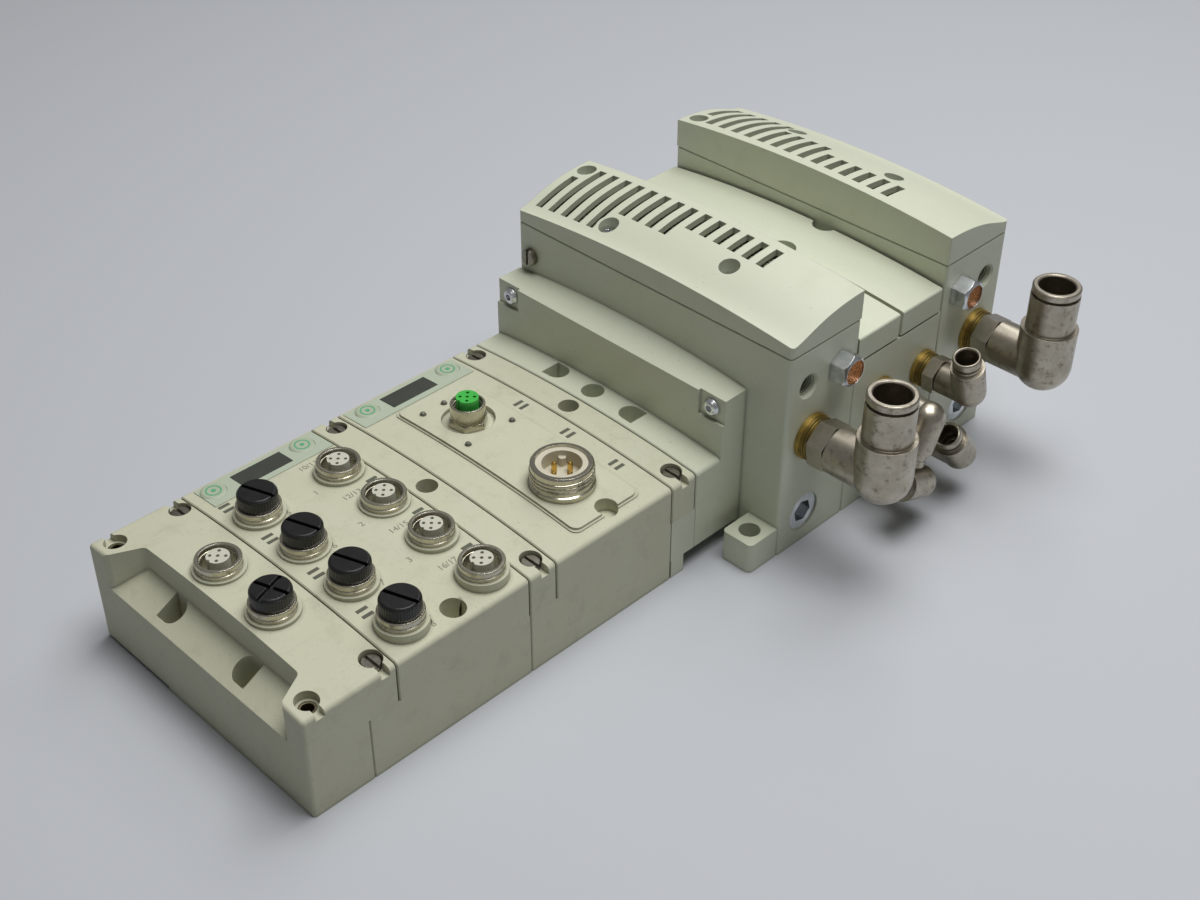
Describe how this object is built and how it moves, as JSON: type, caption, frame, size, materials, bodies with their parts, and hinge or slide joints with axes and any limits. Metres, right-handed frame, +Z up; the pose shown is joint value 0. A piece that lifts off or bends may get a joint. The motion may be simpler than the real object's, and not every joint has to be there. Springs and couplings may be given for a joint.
{
  "type": "pneumatic valve island",
  "caption": "Valve island with plug-in electronics modules, round sockets with dust caps, vented end plates, valve stations and swivel push-in elbows.",
  "frame": {"origin": "axis of the front foot's bolt hole on the base plane", "axes": "+X out of the port face, +Y along the row from the electronics to the rear end plate, +Z up"},
  "size_m": [0.1781, 0.3369, 0.1015],
  "materials": {
    "painted_casting": "smooth grey-green paint",
    "cover_plastic": "smooth grey-green paint",
    "module_plastic": "fine matte moulding, light grime",
    "nickel": "nickel plate, slightly brown",
    "thread_brass": "nickel hexagon with bare brass thread and ring",
    "zinc": "bright zinc",
    "bronze": "porous sintered bronze",
    "black_plastic": "semi-gloss black",
    "contact_carrier": "cream moulding",
    "green_insert": "bright green moulding",
    "gold": "gold plate",
    "light_guide": "smoked light guide",
    "label_film": "satin film",
    "display": "dark window",
    "button_film": "domed film",
    "circuit_board": "lacquered board",
    "porous_plastic": "porous grey-green",
    "spool_metal": "hard-coated spool",
    "gasket_rubber": "black rubber"
  },
  "bodies": {
    "island": {"adapter": "painted_casting", "breather_bodies": "zinc", "breather_discs": "bronze", "bus_socket_insert": "green_insert", "bus_socket_nut": "nickel", "bus_socket_shell": "nickel", "button_screws": "zinc", "comm_circuit_board": "circuit_board", "comm_module": "module_plastic", "display_windows": "display", "end_block": "module_plastic", "front_cover": "cover_plastic", "front_end_plate": "painted_casting", "io_circuit_board": "circuit_board", "io_module": "module_plastic", "joiner_clip_front": "module_plastic", "joiner_clip_rear": "module_plastic", "label_films": "label_film", "light_guides": "light_guide", "manifold_block": "painted_casting", "port_plugs": "zinc", "port_studs": "thread_brass", "power_insert": "contact_carrier", "power_pins": "gold", "power_shell": "nickel", "rear_cover": "cover_plastic", "rear_end_plate": "painted_casting", "silencers": "porous_plastic", "slotted_screws": "zinc", "socket_inserts": "contact_carrier", "socket_shells": "nickel", "spool_end_caps": "black_plastic", "threaded_inserts": "thread_brass", "tie_rods": "zinc", "valve_body_1": "cover_plastic", "valve_body_2": "cover_plastic", "valve_gaskets": "gasket_rubber"},
    "cap_1": {"dust_cap_1": "black_plastic"},
    "cap_2": {"dust_cap_2": "black_plastic"},
    "cap_3": {"dust_cap_3": "black_plastic"},
    "cap_4": {"dust_cap_4": "black_plastic"},
    "cap_5": {"dust_cap_5": "black_plastic"},
    "key_1": {"button_1": "button_film"},
    "key_2": {"button_2": "button_film"},
    "key_3": {"button_3": "button_film"},
    "key_4": {"button_4": "button_film"},
    "valve_spool_1": {"spool_1": "spool_metal"},
    "valve_spool_2": {"spool_2": "spool_metal"},
    "large_fitting_1": {"large_elbow_1": "nickel"},
    "large_release_1": {"large_collet_1": "nickel"},
    "large_fitting_2": {"large_elbow_2": "nickel"},
    "large_release_2": {"large_collet_2": "nickel"},
    "small_fitting_1": {"small_elbow_1": "nickel"},
    "small_release_1": {"small_collet_1": "nickel"},
    "small_fitting_2": {"small_elbow_2": "nickel"},
    "small_release_2": {"small_collet_2": "nickel"},
    "small_fitting_3": {"small_elbow_3": "nickel"},
    "small_release_3": {"small_collet_3": "nickel"},
    "small_fitting_4": {"small_elbow_4": "nickel"},
    "small_release_4": {"small_collet_4": "nickel"}
  },
  "joints": [
    {"name": "cap_1_unscrew", "type": "hinge", "parent": "island", "child": "cap_1", "pos_m": [-0.0551, -0.1666, 0.0486], "axis": [0, 0, 1], "range_deg": [0, 1080]},
    {"name": "cap_2_unscrew", "type": "hinge", "parent": "island", "child": "cap_2", "pos_m": [-0.0236, -0.1406, 0.0486], "axis": [0, 0, 1], "range_deg": [0, 1080]},
    {"name": "cap_3_unscrew", "type": "hinge", "parent": "island", "child": "cap_3", "pos_m": [-0.0484, -0.1406, 0.0486], "axis": [0, 0, 1], "range_deg": [0, 1080]},
    {"name": "cap_4_unscrew", "type": "hinge", "parent": "island", "child": "cap_4", "pos_m": [-0.0732, -0.1406, 0.0486], "axis": [0, 0, 1], "range_deg": [0, 1080]},
    {"name": "cap_5_unscrew", "type": "hinge", "parent": "island", "child": "cap_5", "pos_m": [-0.098, -0.1406, 0.0486], "axis": [0, 0, 1], "range_deg": [0, 1080]},
    {"name": "key_1_press", "type": "slide", "parent": "island", "child": "key_1", "axis": [0, 0, -1], "range_m": [0, 0.0003], "stiffness_N_per_m": 800},
    {"name": "key_2_press", "type": "slide", "parent": "island", "child": "key_2", "axis": [0, 0, -1], "range_m": [0, 0.0003], "stiffness_N_per_m": 800},
    {"name": "key_3_press", "type": "slide", "parent": "island", "child": "key_3", "axis": [0, 0, -1], "range_m": [0, 0.0003], "stiffness_N_per_m": 800},
    {"name": "key_4_press", "type": "slide", "parent": "island", "child": "key_4", "axis": [0, 0, -1], "range_m": [0, 0.0003], "stiffness_N_per_m": 800},
    {"name": "spool_1_shift", "type": "slide", "parent": "island", "child": "valve_spool_1", "axis": [1, 0, 0], "range_m": [0, 0.003], "stiffness_N_per_m": 200},
    {"name": "spool_2_shift", "type": "slide", "parent": "island", "child": "valve_spool_2", "axis": [1, 0, 0], "range_m": [0, 0.003], "stiffness_N_per_m": 200},
    {"name": "large_elbow_1_swivel", "type": "hinge", "parent": "island", "child": "large_fitting_1", "pos_m": [0.0072, 0.0214, 0.048], "axis": [1, 0, 0], "range_deg": [-45, 60]},
    {"name": "large_collet_1_push", "type": "slide", "parent": "large_fitting_1", "child": "large_release_1", "axis": [0, 0, -1], "range_m": [0, 0.001], "stiffness_N_per_m": 600},
    {"name": "large_elbow_2_swivel", "type": "hinge", "parent": "island", "child": "large_fitting_2", "pos_m": [0.0072, 0.1194, 0.048], "axis": [1, 0, 0], "range_deg": [-60, 30]},
    {"name": "large_collet_2_push", "type": "slide", "parent": "large_fitting_2", "child": "large_release_2", "axis": [0, 0, -1], "range_m": [0, 0.001], "stiffness_N_per_m": 600},
    {"name": "small_elbow_1_swivel", "type": "hinge", "parent": "island", "child": "small_fitting_1", "pos_m": [0.0072, 0.0617, 0.046], "axis": [1, 0, 0], "range_deg": [-30, 15]},
    {"name": "small_collet_1_push", "type": "slide", "parent": "small_fitting_1", "child": "small_release_1", "axis": [0, 0.4695, 0.8829], "range_m": [0, 0.001], "stiffness_N_per_m": 600},
    {"name": "small_elbow_2_swivel", "type": "hinge", "parent": "island", "child": "small_fitting_2", "pos_m": [0.0072, 0.0617, 0.0173], "axis": [1, 0, 0], "range_deg": [0, 45]},
    {"name": "small_collet_2_push", "type": "slide", "parent": "small_fitting_2", "child": "small_release_2", "axis": [0, 0.9272, -0.3746], "range_m": [0, 0.001], "stiffness_N_per_m": 600},
    {"name": "small_elbow_3_swivel", "type": "hinge", "parent": "island", "child": "small_fitting_3", "pos_m": [0.0072, 0.0871, 0.046], "axis": [1, 0, 0], "range_deg": [-30, 20]},
    {"name": "small_collet_3_push", "type": "slide", "parent": "small_fitting_3", "child": "small_release_3", "axis": [0, 0.2924, -0.9563], "range_m": [0, 0.001], "stiffness_N_per_m": 600},
    {"name": "small_elbow_4_swivel", "type": "hinge", "parent": "island", "child": "small_fitting_4", "pos_m": [0.0072, 0.0871, 0.0173], "axis": [1, 0, 0], "range_deg": [-20, 15]},
    {"name": "small_collet_4_push", "type": "slide", "parent": "small_fitting_4", "child": "small_release_4", "axis": [0, 0.6157, -0.788], "range_m": [0, 0.001], "stiffness_N_per_m": 600}
  ]
}
